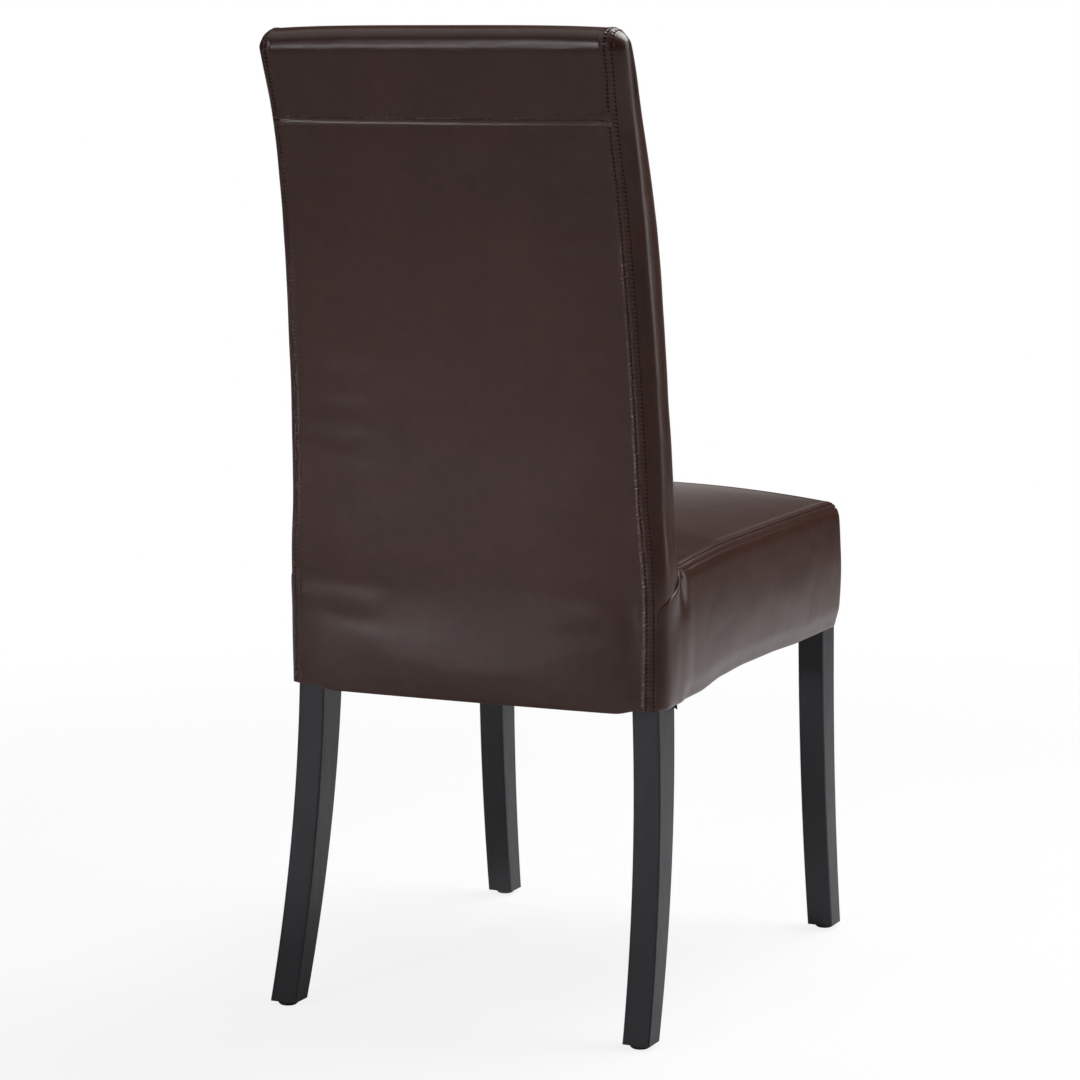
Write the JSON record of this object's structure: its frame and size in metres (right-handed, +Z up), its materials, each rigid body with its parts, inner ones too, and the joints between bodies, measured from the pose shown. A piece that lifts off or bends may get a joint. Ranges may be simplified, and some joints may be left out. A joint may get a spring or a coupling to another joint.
{
  "type": "dining chair",
  "caption": "High-back upholstered dining chair with a swept back, a crowned box seat, a sewn dark leather cover and tapered black sabre legs on glides.",
  "frame": {"origin": "on the floor, under the middle of the chair's bounding box", "axes": "+Z up, -Y the way the sitter faces, +X to the sitter's left"},
  "size_m": [0.4354, 0.6101, 1.016],
  "materials": {
    "brown_leather": "dark espresso, fine pebble grain, semi-gloss",
    "black_lacquer": "black stain under satin lacquer",
    "raw_hardwood": "planed, unfinished",
    "seat_foam": "open-cell foam",
    "fibre_padding": "bonded fibre",
    "jute_webbing": "woven",
    "beech_dowel": "plain",
    "steel_screw": "zinc plated",
    "steel_nail": "bright",
    "black_glide": "moulded, slightly worn",
    "black_cambric": "spun-bonded sheet"
  },
  "bodies": {
    "root": {"back_foam": "seat_foam", "back_lower_rail": "raw_hardwood", "back_middle_rail": "raw_hardwood", "back_rear_pad": "seat_foam", "back_side_strip_left": "brown_leather", "back_side_strip_right": "brown_leather", "back_top_rail": "raw_hardwood", "back_webbing": "jute_webbing", "corner_block_front_left": "raw_hardwood", "corner_block_front_right": "raw_hardwood", "corner_block_rear_left": "raw_hardwood", "corner_block_rear_right": "raw_hardwood", "corner_block_screws": "steel_screw", "dust_cover": "black_cambric", "front_leg_left": "black_lacquer", "front_leg_right": "black_lacquer", "front_rail": "raw_hardwood", "glide_front_left": "black_glide", "glide_front_right": "black_glide", "glide_nails": "steel_nail", "glide_rear_left": "black_glide", "glide_rear_right": "black_glide", "inside_back_panel": "brown_leather", "outside_back_panel": "brown_leather", "outside_back_yoke": "brown_leather", "rail_dowels": "beech_dowel", "rail_padding": "fibre_padding", "rear_post_left": "black_lacquer", "rear_post_right": "black_lacquer", "rear_rail": "raw_hardwood", "seat_boxing": "brown_leather", "seat_foam": "seat_foam", "seat_top_panel": "brown_leather", "seat_webbing_crosswise": "jute_webbing", "seat_webbing_lengthwise": "jute_webbing", "side_rail_left": "raw_hardwood", "side_rail_right": "raw_hardwood"}
  },
  "joints": []
}
